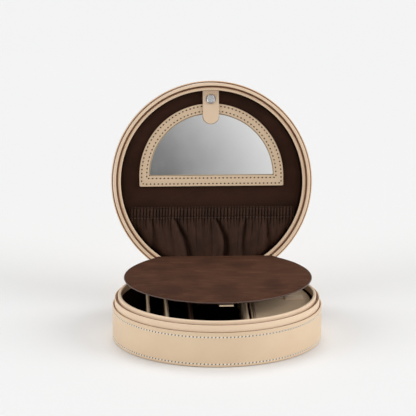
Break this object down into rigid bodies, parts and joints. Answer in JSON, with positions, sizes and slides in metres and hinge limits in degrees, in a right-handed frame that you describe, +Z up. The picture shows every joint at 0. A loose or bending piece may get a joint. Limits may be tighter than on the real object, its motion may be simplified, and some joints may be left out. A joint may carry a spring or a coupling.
{
  "type": "jewellery case",
  "caption": "Round leather jewellery case with a hinged lid, snap-held mirror, gathered pocket, floating suede cover and a divided tray.",
  "frame": {"origin": "centre of the base's flat underside", "axes": "+Z up, +X to the right seen from the front, +Y to the rear, where the hinge runs along X"},
  "size_m": [0.2, 0.2728, 0.2186],
  "materials": {
    "cream_leather": "cream calf leather, soft satin, fine pebble grain",
    "raw_leather_edge": "painted brown cut edge",
    "brown_suede": "dark brown brushed microsuede",
    "taupe_suede": "taupe brushed microsuede",
    "greyboard": "grey bookbinder's board, bare, hidden inside",
    "pocket_cloth": "dark brown gathered microsuede with a soft sheen",
    "mirror_glass": "silvered flat glass",
    "satin_steel": "satin nickel-plated snap"
  },
  "bodies": {
    "base": {"base_bottom_leather": "cream_leather", "base_bottom_board": "greyboard", "base_wall_board": "greyboard", "base_wall_leather": "cream_leather", "base_rim_band": "cream_leather", "base_edge_ring": "raw_leather_edge", "base_inner_ring": "cream_leather", "base_lining_wall": "brown_suede", "base_lining_floor": "brown_suede", "divider_left": "taupe_suede", "divider_middle": "taupe_suede", "divider_centre": "brown_suede", "divider_right": "taupe_suede", "tub": "taupe_suede", "hinge_strap_base": "cream_leather", "cover_anchor": "brown_suede"},
    "lid": {"lid_top_leather": "cream_leather", "lid_top_board": "greyboard", "lid_wall_board": "greyboard", "lid_wall_leather": "cream_leather", "lid_rim_band": "cream_leather", "lid_edge_ring": "raw_leather_edge", "lid_inner_ring": "cream_leather", "lid_lining_wall": "brown_suede", "lid_lining_panel": "brown_suede", "pocket_cloth": "pocket_cloth", "pocket_band": "pocket_cloth", "snap_stud": "satin_steel", "strap_anchor": "cream_leather", "hinge_strap_lid": "cream_leather"},
    "mirror": {"mirror_backing": "greyboard", "mirror_glass": "mirror_glass", "mirror_frame": "cream_leather"},
    "strap": {"mirror_strap": "cream_leather", "snap_cap": "satin_steel", "snap_socket": "satin_steel"},
    "cover_leaf": {"cover_leaf": "brown_suede"},
    "cover_spine": {"cover_spine": "brown_suede"},
    "cover": {"cover_board": "greyboard", "cover_top_suede": "brown_suede", "cover_under_suede": "brown_suede"},
    "cover_tab": {"cover_pull_tab": "cream_leather"},
    "tub_lid": {"tub_lid_board": "greyboard", "tub_lid_suede": "taupe_suede", "tub_lid_piping": "taupe_suede"},
    "tub_tab": {"tub_pull_tab": "cream_leather"}
  },
  "joints": [
    {"name": "lid_hinge", "type": "hinge", "parent": "base", "child": "lid", "pos_m": [0, 0.0958, 0.0305], "axis": [-1, 0, 0], "range_deg": [-102, 0]},
    {"name": "leaf_fold", "type": "hinge", "parent": "base", "child": "cover_leaf", "pos_m": [0, 0.0889, 0.0405], "axis": [-1, 0, 0], "range_deg": [-65, 0]},
    {"name": "spine_level", "type": "hinge", "parent": "cover_leaf", "child": "cover_spine", "pos_m": [0, 0.08171, 0.05591], "axis": [-1, 0, 0], "range_deg": [0, 65]},
    {"name": "cover_open", "type": "hinge", "parent": "cover_spine", "child": "cover", "pos_m": [0, 0.07641, 0.05781], "axis": [-1, 0, 0], "range_deg": [0, 70]},
    {"name": "cover_tab_bend", "type": "hinge", "parent": "cover", "child": "cover_tab", "pos_m": [0, -0.06218, 0.05356], "axis": [1, 0, 0], "range_deg": [0, 30], "stiffness_Nm_per_rad": 0.003},
    {"name": "tub_lid_hinge", "type": "hinge", "parent": "base", "child": "tub_lid", "pos_m": [0.0314, 0, 0.0346], "axis": [0, -1, 0], "range_deg": [0, 56]},
    {"name": "tub_tab_lift", "type": "hinge", "parent": "tub_lid", "child": "tub_tab", "pos_m": [0.0646, 0, 0.038], "axis": [0, -1, 0], "range_deg": [0, 35], "stiffness_Nm_per_rad": 0.003},
    {"name": "strap_flip", "type": "hinge", "parent": "lid", "child": "strap", "pos_m": [0, 0.15629, 0.20616], "axis": [-1, 0, 0], "range_deg": [0, 60]},
    {"name": "mirror_tilt", "type": "hinge", "parent": "lid", "child": "mirror", "pos_m": [0, 0.14156, 0.1135], "axis": [1, 0, 0], "range_deg": [0, 7.8]}
  ],
  "couplings": [
    {"joint": "leaf_fold", "follows": "lid_hinge", "ratio": 0.6372},
    {"joint": "spine_level", "follows": "lid_hinge", "ratio": -0.6372},
    {"joint": "tub_lid_hinge", "follows": "cover_open", "ratio": 0.8},
    {"joint": "mirror_tilt", "follows": "strap_flip", "ratio": 0.13}
  ]
}
